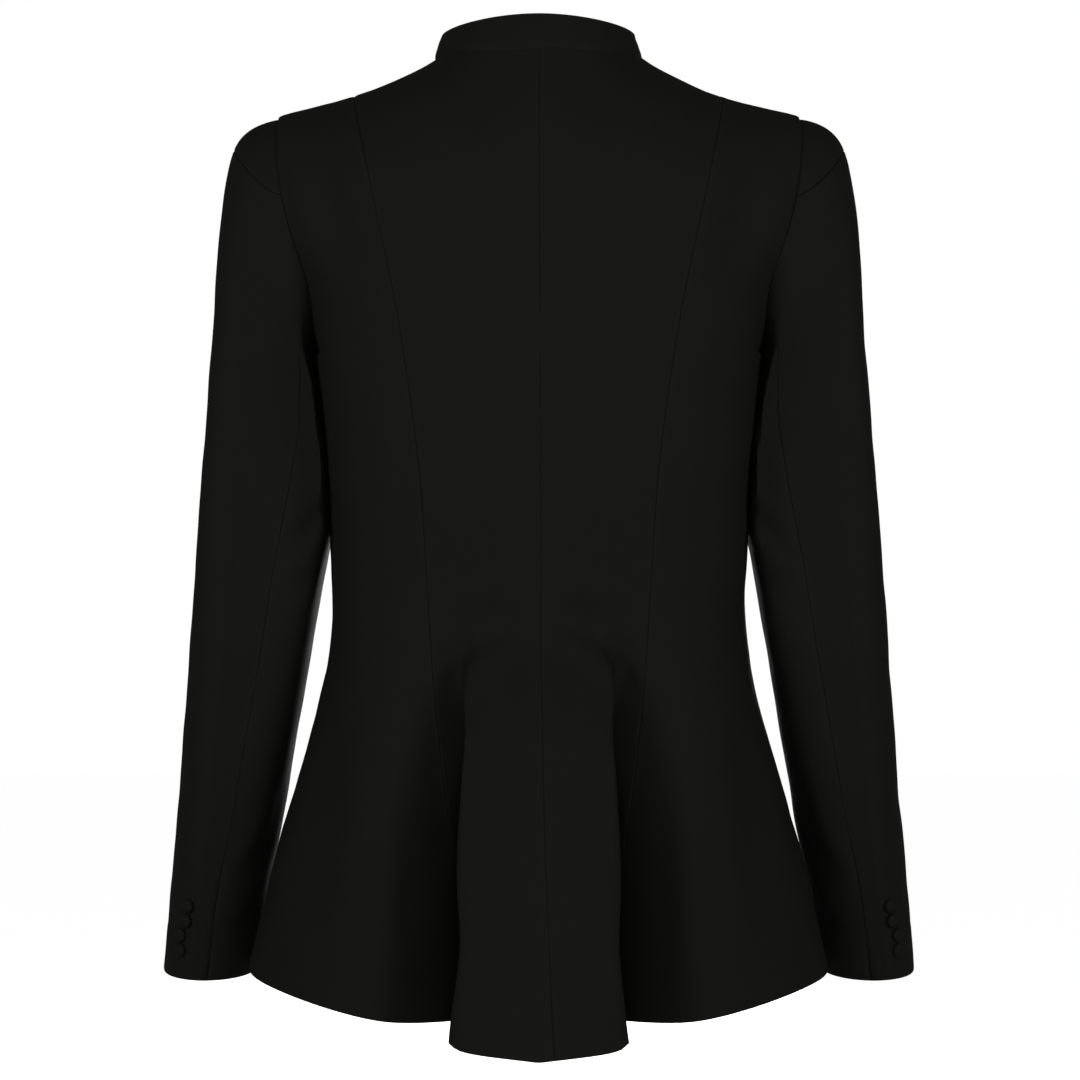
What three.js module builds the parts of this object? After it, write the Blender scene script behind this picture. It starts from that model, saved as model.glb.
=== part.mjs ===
// A tailored jacket, filled out as if worn: stand collar, shoulder princess seams, squared
// sleeve heads, two-piece sleeves with covered buttons, and a back that opens into one deep fold.
// Millimetres, +Z up. The front faces -Y and the wearer's left is +X. The origin is the middle of
// the neck, level with the points where the shoulder seams meet the collar.
import * as THREE from "three";

const CLOTH = 2.0; // thickness of a cloth wall
const COLLAR_CLOTH = 2.6; // the collar is stiffened
const SEAM_GAP = 0.3; // space between two pieces at their seam
const BUTTON_SEAT = 0.3; // space under a button

// Levels of the body
const BLADE_Z = -124; // widest level of the armhole, at the shoulder blades
const UNDERARM_Z = -205; // lowest point of the armhole
const WAIST_Z = -371; // narrowest level
const HEM_BASE_Z = -650; // level to which the body's sections are listed

// Neckline, where the collar is sewn on: two half ovals that meet at the neck points
const NECK_HALF = 69; // half width at the neck points
const NECK_BACK_Y = 56; // depth behind the neck points
const NECK_BACK_RISE = 1; // the back of the neckline rises this much at its middle
const NECK_FRONT_Y = -68; // depth before them
const NECK_FRONT_DROP = 62; // how far the front of the neckline hangs down
const NECK_FRONT_POWER = 2.7; // how fast it falls

// Collar, measured from the neckline to its top edge
const COLLAR = {
  back: { rise: 21.5, lean: 8 },
  side: { rise: 15, lean: 5 },
  front: { rise: 19, lean: 7 },
};
const COLLAR_FRONT_GAP = 1.2; // the two ends meet edge to edge

// Shoulder line from the neck point to the armhole
const SHOULDER = [
  { x: 69, z: 0 },
  { x: 78, z: -6 },
  { x: 93, z: -13.9 },
  { x: 111, z: -21.9 },
  { x: 127, z: -27.6 },
  { x: 145, z: -32.8 },
  { x: 179, z: -41.2 },
];
const SHOULDER_Y = -2; // the shoulder seam lies just before the ridge
const PRINCESS_TOP_X = 127; // where the princess seams reach the shoulder seam
const SHOULDER_TIP_X = 179;

// Armhole, back and front: half depth at the blade level, and how late its edge turns in there
const ARMHOLE = {
  back: { depth: 55, shape: 2.2 },
  front: { depth: -52, shape: 0.9 },
};

// Body sections, one row a level, as points across one side. mid is the centre seam or the front
// edge, edge is the line that runs up to the neck point and down the fold's edge, seam is the
// princess seam, crest and flank lie between it and the side seam, which is at side. fold is how
// far the centre panels are folded out, from 0 to 1.
const SECTION_COLUMNS = [
  "z", "midY", "edgeX", "edgeY", "seamX", "seamY",
  "crestX", "crestY", "flankX", "flankY", "sideX", "fold",
];
const sections = (rows) =>
  rows.map((row) => Object.fromEntries(SECTION_COLUMNS.map((column, i) => [column, row[i]])));
// z      mid   edge         seam         crest       flank       side   fold
const BACK_SECTIONS = sections([
  [-124, 93, 50, 94, 106.5, 84, 130, 75, 151, 65, 168, 0],
  [-165, 98, 48, 99, 97.5, 91, 119, 81, 139, 65, 155, 0],
  [-205, 98, 47, 99, 90.5, 92, 114, 79, 136, 54, 150.5, 0],
  [-285, 90, 44, 90.5, 80, 83, 105, 70, 129, 45, 146, 0],
  [-371, 79, 42, 79, 74.5, 72, 99, 60, 124, 36, 142, 0],
  [-402, 82, 43, 82, 72, 74, 99, 64, 126, 39, 143.5, 0.1],
  [-430, 97, 45.5, 96, 68.5, 78, 99, 71, 130, 44, 148, 0.5],
  [-460, 113, 48, 111, 65, 82, 99, 80, 135, 50, 155, 0.85],
  [-500, 131, 50, 128, 61, 87, 100, 92, 143, 57, 167, 1],
  [-550, 152, 51.5, 147, 57, 92, 102, 105, 153, 65, 181, 1],
  [-600, 171, 53.5, 164, 54, 96, 105, 117, 163, 73, 193, 1],
  [-650, 189, 56, 180, 52, 99, 108, 128, 172, 81, 204, 1],
]);
const FRONT_SECTIONS = sections([
  [-124, -98, 48, -98, 104, -86, 125, -76, 143, -64, 158, 0],
  [-165, -115, 47, -117, 97, -107, 117, -94, 136, -71, 152, 0],
  [-205, -127, 46, -130, 91, -122, 114, -105, 136, -66, 150.5, 0],
  [-240, -129, 45, -132, 87, -126, 111, -107, 134, -64, 148.7, 0],
  [-300, -115, 42, -117, 78, -109, 104, -92, 129, -54, 145, 0],
  [-371, -98, 38, -99, 70, -92, 98, -76, 124, -45, 142, 0],
  [-430, -106, 39, -107, 72, -100, 101, -83, 129, -49, 148, 0],
  [-500, -122, 42, -124, 79, -116, 112, -95, 143, -55, 167, 0],
  [-600, -142, 47, -146, 91, -138, 130, -111, 163, -66, 193, 0],
  [-650, -150, 50, -156, 97, -148, 139, -118, 172, -71, 204, 0],
]);

// Height of the hem, by place along the cloth: 0 middle, 1 edge, 2 princess seam, 5 side seam
const HEM = {
  back: [
    { c: 0, z: -664.7 },
    { c: 0.8, z: -658 },
    { c: 1, z: -654.5 },
    { c: 2, z: -644 },
    { c: 3, z: -648 },
    { c: 4, z: -635.5 },
    { c: 5, z: -627.6 },
  ],
  front: [
    { c: -1, z: -628 },
    { c: 0, z: -628 },
    { c: 1, z: -629 },
    { c: 2, z: -630 },
    { c: 3, z: -630 },
    { c: 4, z: -629 },
    { c: 5, z: -627.6 },
  ],
};

// Front edges: the right front laps over the left one, with the fastening hidden under it
const OVERLAP = 16; // each front reaches this far past the middle
const LAP_EASE = 34; // width over which the lower front sinks under the upper one

// Sleeve sections below the head, one row a level
const SLEEVE_SECTIONS = [
  { z: -237, innerX: 149.2, outerX: 227.5, midY: -6, depth: 57 },
  { z: -285, innerX: 145.6, outerX: 231.8, midY: -16, depth: 53 },
  { z: -325, innerX: 144.6, outerX: 235.4, midY: -18, depth: 50 },
  { z: -345, innerX: 147, outerX: 236.9, midY: -17, depth: 49 },
  { z: -371, innerX: 151.5, outerX: 239, midY: -16, depth: 48.5 },
  { z: -412, innerX: 158.6, outerX: 242.3, midY: -17, depth: 48 },
  { z: -475, innerX: 169.6, outerX: 247.8, midY: -22, depth: 47 },
  { z: -526, innerX: 178.5, outerX: 252.5, midY: -28, depth: 46.5 },
  { z: -578, innerX: 188.5, outerX: 257.8, midY: -35, depth: 46 },
  { z: -634, innerX: 198.3, outerX: 262.8, midY: -43, depth: 45.5 },
];
const BICEP_Z = -237;
const CUFF_Z = -634;
const CUFF_BACK_DROP = 3; // the cuff hangs lower at the back

// Sleeve head: how the cloth leaves the armhole and arrives at the bicep, by angle round the arm
const HEAD_TOP = { step: 3, outX: 1, outY: 0, outZ: -0.15, leave: 48, arrive: 155 };
const HEAD_BACK = { step: 0.9, outX: 0.95, outY: 0.1, outZ: -0.3, leave: 30, arrive: 62 };
const HEAD_UNDER = { step: 0, outX: 0.35, outY: 0, outZ: -0.9, leave: 9, arrive: 10 };
const HEAD_FRONT = { step: 0.9, outX: 0.9, outY: -0.25, outZ: -0.35, leave: 30, arrive: 62 };
const HEAD = [
  { angle: -90, ...HEAD_FRONT },
  { angle: 0, ...HEAD_TOP },
  { angle: 90, ...HEAD_BACK },
  { angle: 180, ...HEAD_UNDER },
  { angle: 270, ...HEAD_FRONT },
  { angle: 360, ...HEAD_TOP },
  { angle: 450, ...HEAD_BACK },
];
const RIDGE_ANGLE = 20; // this near the top, the sleeve's edge turns into the shoulder's ridge
const CAP_HALF_ANGLE = 70; // the cap piece spans this angle each way from the top
const CAP_LENGTH = 0.39; // its length at the top, as a share of the head's
const CAP_CURVE = 0.6; // how full its lower edge is
const ELBOW_PLACE = 100; // the elbow seam is counted to lie this far round the arm
const FRONT_SEAM_ANGLE = 232; // seam at the front of the arm, turned to the body

// Where the elbow seam really lies: s runs from the armhole (0) past the bicep (1) to the cuff (2)
const ELBOW_SEAM = [
  { s: 0, angle: 134 },
  { s: 1, angle: 127 },
  { s: 1.12, angle: 115 },
  { s: 1.24, angle: 105 },
  { s: 1.44, angle: 103 },
  { s: 1.71, angle: 97 },
  { s: 1.85, angle: 92.5 },
  { s: 2, angle: 93 },
];

// Covered buttons on each cuff
const BUTTON_RADIUS = 5;
const BUTTON_HEIGHT = 4.2;
const BUTTON_SPACING = 10.4;
const BUTTON_TOP_Z = -582.5;
const BUTTON_ANGLES = [60, 59, 53.5, 55]; // sewn by hand, so not quite in line

// Number of steps in each piece's net
const TOP_STEPS = 6; // from the shoulder seam to the blade level
const ARMHOLE_STEPS = 6; // from there to the underarm
const RIB_STEPS = 4; // from there to the waist
const SKIRT_STEPS = 10; // from there to the hem
const HEAD_STEPS = 6; // from the armhole to the bicep
const ARM_STEPS = 9; // from there to the cuff

const CORNER_FADE = 6; // how soon the corner at the neck point fades into the panel
const DEGREES = Math.PI / 180;

const lerp = THREE.MathUtils.lerp;
const clamp = THREE.MathUtils.clamp;
const smoothstep = THREE.MathUtils.smoothstep;

// A value read from a table at any place, on a smooth line through its rows
function read(rows, key, at, column) {
  const up = rows[rows.length - 1][key] > rows[0][key];
  let i = 0;
  while (i < rows.length - 2 && (up ? at > rows[i + 1][key] : at < rows[i + 1][key])) {
    i += 1;
  }
  const slope = (k) => {
    const a = rows[Math.max(k - 1, 0)];
    const b = rows[Math.min(k + 1, rows.length - 1)];
    return (b[column] - a[column]) / (b[key] - a[key]);
  };
  const span = rows[i + 1][key] - rows[i][key];
  const t = clamp((at - rows[i][key]) / span, 0, 1);
  const from = rows[i][column];
  const to = rows[i + 1][column];
  const t2 = t * t;
  const t3 = t2 * t;
  return (
    (2 * t3 - 3 * t2 + 1) * from +
    (t3 - 2 * t2 + t) * span * slope(i) +
    (3 * t2 - 2 * t3) * to +
    (t3 - t2) * span * slope(i + 1)
  );
}

// Neckline point: turn is 0 at the middle and 1 at the neck point
function neckPoint(face, turn) {
  const angle = clamp(turn, -1, 1) * 90 * DEGREES;
  const x = NECK_HALF * Math.sin(angle);
  const cos = Math.cos(angle);
  if (face === "back") {
    const y = SHOULDER_Y + (NECK_BACK_Y - SHOULDER_Y) * cos;
    return new THREE.Vector3(x, y, NECK_BACK_RISE * cos);
  }
  const drop = NECK_FRONT_DROP * Math.pow(cos, NECK_FRONT_POWER);
  return new THREE.Vector3(x, SHOULDER_Y + (NECK_FRONT_Y - SHOULDER_Y) * cos, -drop);
}

// Top end of the body's cloth at a place c along it, on the neckline or the shoulder seam
function topPoint(face, c) {
  if (Math.abs(c) <= 1) {
    return neckPoint(face, c);
  }
  const x =
    c <= 2
      ? lerp(NECK_HALF, PRINCESS_TOP_X, c - 1)
      : lerp(PRINCESS_TOP_X, SHOULDER_TIP_X, (c - 2) / 3);
  return new THREE.Vector3(x, SHOULDER_Y, read(SHOULDER, "x", x, "z"));
}

// The same edge as one soft line, without the corner at the neck point
const SOFT_TOP = ["back", "front"].map((face) => {
  const half = [0, 1, 2, 5].map((c) => topPoint(face, c));
  const other = half.slice(1).reverse().map((p) => new THREE.Vector3(-p.x, p.y, p.z));
  return new THREE.CatmullRomCurve3([...other, ...half], false, "centripetal");
});
function softTopPoint(face, c) {
  const place = Math.abs(c);
  const index = place <= 2 ? place : 2 + (place - 2) / 3;
  const curve = SOFT_TOP[face === "back" ? 0 : 1];
  return curve.getPoint((3 + Math.sign(c) * index) / 6);
}

// Armhole edge of the body below the blade level
function armholeEdge(face, z) {
  const { depth } = ARMHOLE[face];
  const fall = clamp((BLADE_Z - z) / (BLADE_Z - UNDERARM_Z), 0, 1);
  return depth * Math.sqrt(1 - fall * fall);
}

// Section of the body at a level, as a curve through its stations on both sides of the middle
const STATIONS = [0, 0.8, 1, 1.3, 2, 3, 4, 5]; // places of its points along the cloth
function sectionPoint(face, c, z) {
  const rows = face === "back" ? BACK_SECTIONS : FRONT_SECTIONS;
  const at = (column) => read(rows, "z", z, column);
  const [midY, edgeX, edgeY, seamX, seamY] = ["midY", "edgeX", "edgeY", "seamX", "seamY"].map(at);
  const fold = clamp(at("fold"), 0, 1);
  const sideY = z > UNDERARM_Z ? armholeEdge(face, z) : 0;
  const faceShare = lerp(0.8, 0.88, fold);
  const faceDrop = lerp(0.64, 0.5, fold);
  const points = [
    [0, midY],
    [edgeX * faceShare, lerp(midY, edgeY, faceDrop)],
    [edgeX, edgeY],
    [
      lerp(lerp(edgeX, seamX, 0.4), edgeX - 0.5, fold),
      lerp(lerp(edgeY, seamY, 0.33), edgeY - 11, fold),
    ],
    [seamX, seamY],
    [at("crestX"), at("crestY")],
    [at("flankX"), at("flankY")],
    [at("sideX"), sideY],
  ];
  const around = points.slice(1).reverse().map(([x, y]) => new THREE.Vector3(-x, y, z));
  points.forEach(([x, y]) => around.push(new THREE.Vector3(x, y, z)));
  if (z <= UNDERARM_Z) {
    // the ring goes on round the side, which gives the side seam its direction
    const other = face === "back" ? FRONT_SECTIONS : BACK_SECTIONS;
    const x = read(other, "z", z, "flankX");
    const y = read(other, "z", z, "flankY");
    around.unshift(new THREE.Vector3(-x, y, z));
    around.push(new THREE.Vector3(x, y, z));
  }
  const middle = (around.length - 1) / 2;
  const place = Math.abs(c);
  let i = 0;
  while (i < STATIONS.length - 2 && place > STATIONS[i + 1]) {
    i += 1;
  }
  const index = i + (place - STATIONS[i]) / (STATIONS[i + 1] - STATIONS[i]);
  const signed = c < 0 ? middle - index : middle + index;
  const curve = new THREE.CatmullRomCurve3(around, false, "centripetal");
  return curve.getPoint(signed / (around.length - 1));
}

// The body's cloth: c runs from the middle (0) to the side (5), and r from the top edge (0) past
// the blade level (1), the underarm (2) and the waist (3) to the hem (4)
function bodyPoint(face, c, r) {
  if (r < 1) {
    const top = topPoint(face, c);
    const blade = sectionPoint(face, c, BLADE_Z);
    const angle = Math.max(r, 0) * 90 * DEGREES;
    const sink = 1 - Math.cos(angle);
    const place = Math.abs(c);
    const round = Math.pow(Math.sin(angle), lerp(2, 1, smoothstep(place, 0, 1)));
    const shape = lerp(1, ARMHOLE[face].shape, smoothstep(place, 3, 5));
    const soft = softTopPoint(face, c);
    const corner = top.sub(soft).multiplyScalar(Math.pow(1 - sink, CORNER_FADE));
    return new THREE.Vector3(
      lerp(soft.x, blade.x, Math.pow(sink, shape)),
      lerp(soft.y, blade.y, round),
      lerp(soft.z, blade.z, sink),
    ).add(corner);
  }
  let z;
  if (r < 2) {
    const even = r - 1;
    const bent = Math.sin(even * 90 * DEGREES);
    z = lerp(BLADE_Z, UNDERARM_Z, lerp(even, bent, smoothstep(Math.abs(c), 2, 5)));
  } else if (r < 3) {
    z = lerp(UNDERARM_Z, WAIST_Z, r - 2);
  } else {
    const hem = read(HEM[face], "c", c, "z");
    z = lerp(WAIST_Z, hem, r - 3);
  }
  const point = sectionPoint(face, c, Math.max(z, HEM_BASE_Z));
  if (z < HEM_BASE_Z) {
    // the fold hangs below the last section and goes on in the same direction
    const above = sectionPoint(face, c, HEM_BASE_Z + 10);
    point.addScaledVector(above.sub(point), (z - HEM_BASE_Z) / 10);
  }
  return point;
}

// Outward normal of a surface, from points close by
function normalAt(surface, u, v, limits) {
  const h = 0.01;
  const [u0, u1, v0, v1] = limits;
  const along = surface(Math.min(u + h, u1), v).sub(surface(Math.max(u - h, u0), v));
  const down = surface(u, Math.min(v + h, v1)).sub(surface(u, Math.max(v - h, v0)));
  return along.cross(down).normalize();
}

// A net of outer points and one of inner points over part of a surface. Its edges are drawn back
// by half a seam gap.
function clothNet(surface, us, vs, limits, options = {}) {
  const { thickness = CLOTH, outward = 1, moved = () => 0 } = options;
  const outer = [];
  const inner = [];
  vs.forEach((v, row) => {
    outer.push([]);
    inner.push([]);
    us.forEach((u, column) => {
      const point = surface(u, v);
      const normal = normalAt(surface, u, v, limits).multiplyScalar(outward);
      const nextU = us[column === us.length - 1 ? column - 1 : column + 1];
      const nextV = vs[row === vs.length - 1 ? row - 1 : row + 1];
      const edge = SEAM_GAP / 2;
      if (column === 0 || column === us.length - 1) {
        point.addScaledVector(surface(nextU, v).sub(surface(u, v)).normalize(), edge);
      }
      if (row === 0 || row === vs.length - 1) {
        point.addScaledVector(surface(u, nextV).sub(surface(u, v)).normalize(), edge);
      }
      point.addScaledVector(normal, moved(u, v));
      outer[row].push(point);
      inner[row].push(point.clone().addScaledVector(normal, -thickness));
    });
  });
  return { outer, inner };
}

// One closed wall from a net of outer and inner points
function wallGeometry({ outer, inner }) {
  const rows = outer.length;
  const columns = outer[0].length;
  const points = [...outer.flat(), ...inner.flat()];
  const at = (layer, row, column) => layer * rows * columns + row * columns + column;
  const index = [];
  const quad = (a, b, c, d) => {
    const short = points[a].distanceTo(points[c]) <= points[b].distanceTo(points[d]);
    index.push(...(short ? [a, b, c, a, c, d] : [a, b, d, b, c, d]));
  };
  for (let row = 0; row < rows - 1; row += 1) {
    for (let column = 0; column < columns - 1; column += 1) {
      const [below, beside] = [row + 1, column + 1];
      quad(at(0, row, column), at(0, below, column), at(0, below, beside), at(0, row, beside));
      quad(at(1, row, column), at(1, row, beside), at(1, below, beside), at(1, below, column));
    }
  }
  for (let row = 0; row < rows - 1; row += 1) {
    const last = columns - 1;
    quad(at(0, row, 0), at(1, row, 0), at(1, row + 1, 0), at(0, row + 1, 0));
    quad(at(0, row, last), at(0, row + 1, last), at(1, row + 1, last), at(1, row, last));
  }
  for (let column = 0; column < columns - 1; column += 1) {
    const last = rows - 1;
    quad(at(0, 0, column), at(0, 0, column + 1), at(1, 0, column + 1), at(1, 0, column));
    const beside = column + 1;
    quad(at(0, last, column), at(1, last, column), at(1, last, beside), at(0, last, beside));
  }
  return closedGeometry(points, index);
}

// A geometry whose faces point out
function closedGeometry(points, index) {
  let volume = 0;
  for (let i = 0; i < index.length; i += 3) {
    const [a, b, c] = [points[index[i]], points[index[i + 1]], points[index[i + 2]]];
    volume += a.dot(b.clone().cross(c));
  }
  const outward = volume > 0 ? index : index.slice().reverse();
  const geometry = new THREE.BufferGeometry().setFromPoints(points);
  geometry.setIndex(outward);
  geometry.computeVertexNormals();
  return geometry;
}

// Even steps from one value to another
function steps(from, to, count) {
  return Array.from({ length: count + 1 }, (_, i) => lerp(from, to, i / count));
}

// The same net for the wearer's right side
function mirrored({ outer, inner }) {
  const flip = (net) => net.map((row) => row.map((p) => new THREE.Vector3(-p.x, p.y, p.z)));
  return { outer: flip(outer), inner: flip(inner) };
}

const BODY_ROWS = [
  ...steps(0, 1, TOP_STEPS),
  ...steps(1, 2, ARMHOLE_STEPS).slice(1),
  ...steps(2, 3, RIB_STEPS).slice(1),
  ...steps(3, 4, SKIRT_STEPS).slice(1),
];

// A body panel between two places along the cloth
function bodyPanel(face, places) {
  const surface = (c, r) => bodyPoint(face, c, r);
  const outward = face === "back" ? 1 : -1;
  const limits = [-1, 5, 0, 4];
  return clothNet(surface, places, BODY_ROWS, limits, { outward });
}

const NECK_BACK_PLACES = [...steps(0, 0.8, 4), 0.9, 1];
const CENTRE_BACK = [...NECK_BACK_PLACES, ...steps(1, 2, 6).slice(1)];
const SIDE = steps(2, 5, 7);

// Place along the cloth of the front that lies a distance past the middle
function placePast(distance, r) {
  let near = 0;
  let far = 1;
  for (let i = 0; i < 20; i += 1) {
    const c = (near + far) / 2;
    if (bodyPoint("front", c, r).x < distance) {
      near = c;
    } else {
      far = c;
    }
  }
  return near;
}

// A front: u counts laps from the middle, as far as one lap each way (-1 to 1), and goes on as
// shares of the way to the neck point's line (2) and the princess seam (3)
function frontPlace(u, r) {
  if (Math.abs(u) <= 1) {
    return Math.sign(u) * placePast(Math.abs(u) * OVERLAP, r);
  }
  return u < 2 ? lerp(placePast(OVERLAP, r), 1, u - 1) : u - 1;
}

const frontSurface = (u, r) => bodyPoint("front", frontPlace(u, r), r);
const LAP_PLACES = steps(-1, 1, 4);
const NECK_FRONT_PLACES = steps(1, 2, 5);

function frontPanel(moved) {
  const places = [...LAP_PLACES, ...NECK_FRONT_PLACES.slice(1), ...steps(2, 3, 6).slice(1)];
  return clothNet(frontSurface, places, BODY_ROWS, [-1, 3, 0, 4], { outward: -1, moved });
}

// The lower front sinks under the upper one near its edge
function underLap(u, r) {
  const reach = smoothstep(-frontSurface(u, r).x, -OVERLAP - LAP_EASE, -OVERLAP);
  return -(CLOTH + SEAM_GAP) * reach;
}

// Point of the sleeve's armhole edge at an angle round the arm: 0 top, 90 back, 180 under
function armholeRing(angle) {
  const face = angle <= 180 ? "back" : "front";
  const turn = angle <= 180 ? angle : 360 - angle;
  const surface = (c, r) => bodyPoint(face, c, r);
  const normal = normalAt(surface, 5, turn / 90, [4, 5, 0, 4]);
  normal.multiplyScalar(face === "back" ? 1 : -1);
  normal.y *= smoothstep(turn, 0, RIDGE_ANGLE);
  return { point: surface(5, turn / 90), normal };
}

// Sleeve section below the head
function sleeveRing(angle, z) {
  const at = (column) => read(SLEEVE_SECTIONS, "z", z, column);
  const middle = (at("innerX") + at("outerX")) / 2;
  const half = (at("outerX") - at("innerX")) / 2;
  const back = Math.sin(angle * DEGREES);
  const drop = CUFF_BACK_DROP * back * smoothstep(-z, -BICEP_Z, -CUFF_Z);
  return new THREE.Vector3(
    middle + half * Math.cos(angle * DEGREES),
    at("midY") + at("depth") * back,
    z - drop,
  );
}

// The sleeve's cloth: s runs from the armhole (0) past the bicep (1) to the cuff (2)
function sleevePoint(angle, s) {
  if (s >= 1) {
    return sleeveRing(angle, lerp(BICEP_Z, CUFF_Z, s - 1));
  }
  const at = (column) => read(HEAD, "angle", angle, column);
  const { point, normal } = armholeRing(angle);
  const out = new THREE.Vector3(at("outX"), at("outY"), at("outZ")).normalize();
  const start = point.addScaledVector(normal, -at("step"));
  start.x += SEAM_GAP * 1.5;
  const end = sleeveRing(angle, BICEP_Z);
  const below = sleeveRing(angle, BICEP_Z - 10);
  const rise = end.clone().sub(below).normalize();
  const curve = new THREE.CubicBezierCurve3(
    start,
    start.clone().addScaledVector(out, at("leave")),
    end.clone().addScaledVector(rise, at("arrive")),
    end,
  );
  return curve.getPoint(Math.max(s, 0));
}

// Seam between the cap piece and the top sleeve, as a place along the sleeve
function capEdge(angle) {
  const turn = Math.abs(angle > 180 ? angle - 360 : angle) / CAP_HALF_ANGLE;
  return turn >= 1 ? 0 : CAP_LENGTH * Math.pow(Math.cos(turn * 90 * DEGREES), CAP_CURVE);
}

const wrap = (angle) => (angle < 0 ? angle + 360 : angle);
const sleeveSurface = (angle, s) => sleevePoint(wrap(angle), s);
const SLEEVE_LIMITS = [-360, 720, 0, 2];
const CAP_END_STEP = 1.5; // the cap piece ends this many degrees short of its points
const CAP_ANGLES = steps(CAP_END_STEP - CAP_HALF_ANGLE, CAP_HALF_ANGLE - CAP_END_STEP, 14);

function capNet() {
  const rows = steps(0, 1, 5);
  const surface = (angle, share) => sleeveSurface(angle, share * capEdge(angle));
  return clothNet(surface, CAP_ANGLES, rows, [-180, 180, 0, 1.1], { outward: -1 });
}

// Angle of a place round the arm, counted so that the elbow seam is at ELBOW_PLACE
function angleAt(place, s) {
  if (place <= CAP_HALF_ANGLE) {
    return place;
  }
  const seam = read(ELBOW_SEAM, "s", s, "angle");
  return place <= ELBOW_PLACE
    ? lerp(CAP_HALF_ANGLE, seam, (place - CAP_HALF_ANGLE) / (ELBOW_PLACE - CAP_HALF_ANGLE))
    : lerp(seam, FRONT_SEAM_ANGLE, (place - ELBOW_PLACE) / (FRONT_SEAM_ANGLE - ELBOW_PLACE));
}

function sleeveNet(places) {
  const rows = [...steps(0, 1, HEAD_STEPS), ...steps(1, 2, ARM_STEPS).slice(1)];
  const surface = (place, share) => {
    const s = share < 1 ? lerp(capEdge(wrap(place)), 1, share) : share;
    return sleeveSurface(angleAt(place, s), s);
  };
  return clothNet(surface, places, rows, SLEEVE_LIMITS, { outward: -1 });
}

// The top sleeve's columns: those of the cap piece, with the points of its seam and the rest
const TOP_PLACES = [
  ...steps(FRONT_SEAM_ANGLE - 360, -CAP_HALF_ANGLE, 4),
  ...CAP_ANGLES,
  ...steps(CAP_HALF_ANGLE, ELBOW_PLACE, 4),
];

// The collar: u runs round the neck from the front edge on the right (-2) past the middle of the
// back (0) to the one on the left (2), and v from the neckline (0) to the top edge (1)
function collarPoint(u, v) {
  const turn = Math.abs(u);
  const base = turn <= 1 ? neckPoint("back", turn) : neckPoint("front", 2 - turn);
  const [from, to] = turn <= 1 ? [COLLAR.back, COLLAR.side] : [COLLAR.side, COLLAR.front];
  const share = smoothstep(turn <= 1 ? turn : turn - 1, 0, 1);
  const lean = lerp(from.lean, to.lean, share) * v;
  const rise = lerp(from.rise, to.rise, share) * v;
  const inward = new THREE.Vector3(-base.x / NECK_HALF, -base.y / NECK_BACK_Y, 0).normalize();
  const point = base.addScaledVector(inward, lean);
  point.z += rise;
  point.x *= Math.sign(u) || 1;
  return point;
}

function collarNet() {
  const ends = [COLLAR_FRONT_GAP / 2 / OVERLAP, ...LAP_PLACES.filter((u) => u > 0)];
  const front = [...ends, ...NECK_FRONT_PLACES.slice(1, -1)].map((u) => 2 - frontPlace(u, 0));
  const half = [...NECK_BACK_PLACES, ...front.reverse()];
  const places = [...half.slice(1).reverse().map((turn) => -turn), ...half];
  const options = { thickness: COLLAR_CLOTH, outward: -1 };
  return clothNet(collarPoint, places, [1, 0.5, 0], [-2, 2, 0, 1], options);
}

// Where a button sits on the sleeve, and the way it faces
function buttonSeat(angle, z) {
  const surface = (a, down) => sleeveRing(a, -down);
  const normal = normalAt(surface, angle, -z, [-360, 720, -BICEP_Z, -CUFF_Z]).negate();
  return { point: surface(angle, -z).addScaledVector(normal, BUTTON_SEAT), normal };
}

const buttonName = (side, i) => `cuff_button_${side > 0 ? "left" : "right"}_${i + 1}`;

// A covered button: a domed disc
function buttonGeometry() {
  const profile = [new THREE.Vector2(0, 0), new THREE.Vector2(BUTTON_RADIUS - 1, 0)];
  steps(0, 90, 4).forEach((angle) => {
    const x = BUTTON_RADIUS * Math.cos(angle * DEGREES);
    profile.push(new THREE.Vector2(x, 1 + (BUTTON_HEIGHT - 1) * Math.sin(angle * DEGREES)));
  });
  profile[profile.length - 1].x = 0;
  return new THREE.LatheGeometry(profile, 12);
}

const jacket = new THREE.Group();
const cloth = { color: 0x161614, roughness: 0.86, metalness: 0 };

function addPiece(name, geometry) {
  const mesh = new THREE.Mesh(geometry, new THREE.MeshStandardMaterial({ ...cloth }));
  mesh.name = name;
  jacket.add(mesh);
  return mesh;
}

function addPair(name, net) {
  addPiece(name + "_left", wallGeometry(net));
  addPiece(name + "_right", wallGeometry(mirrored(net)));
}

addPair("centre_back", bodyPanel("back", CENTRE_BACK));
addPair("side_back", bodyPanel("back", SIDE));
addPair("side_front", bodyPanel("front", SIDE));
addPiece("front_left", wallGeometry(frontPanel(underLap)));
addPiece("front_right", wallGeometry(mirrored(frontPanel())));
addPiece("collar", wallGeometry(collarNet()));
addPair("sleeve_cap", capNet());
addPair("top_sleeve", sleeveNet(TOP_PLACES));
addPair("under_sleeve", sleeveNet(steps(ELBOW_PLACE, FRONT_SEAM_ANGLE, 9)));
[1, -1].forEach((side) => {
  BUTTON_ANGLES.forEach((angle, i) => {
    const button = addPiece(buttonName(side, i), buttonGeometry());
    const { point, normal } = buttonSeat(angle, BUTTON_TOP_Z - i * BUTTON_SPACING);
    button.position.set(side * point.x, point.y, point.z);
    const axis = new THREE.Vector3(side * normal.x, normal.y, normal.z);
    button.quaternion.setFromUnitVectors(new THREE.Vector3(0, 1, 0), axis);
  });
});

export default jacket;
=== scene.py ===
# %% [markdown]
# A tailored jacket in dark suiting, seen from behind
#
# This lesson dresses a finished set of solids. Each sewn piece of cloth is made again as a thin,
# finely meshed wall that lies on the same cutting surface, with its seams, its turned hems and its
# creases. We start by loading the solids, because they fix every size and place.

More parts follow.
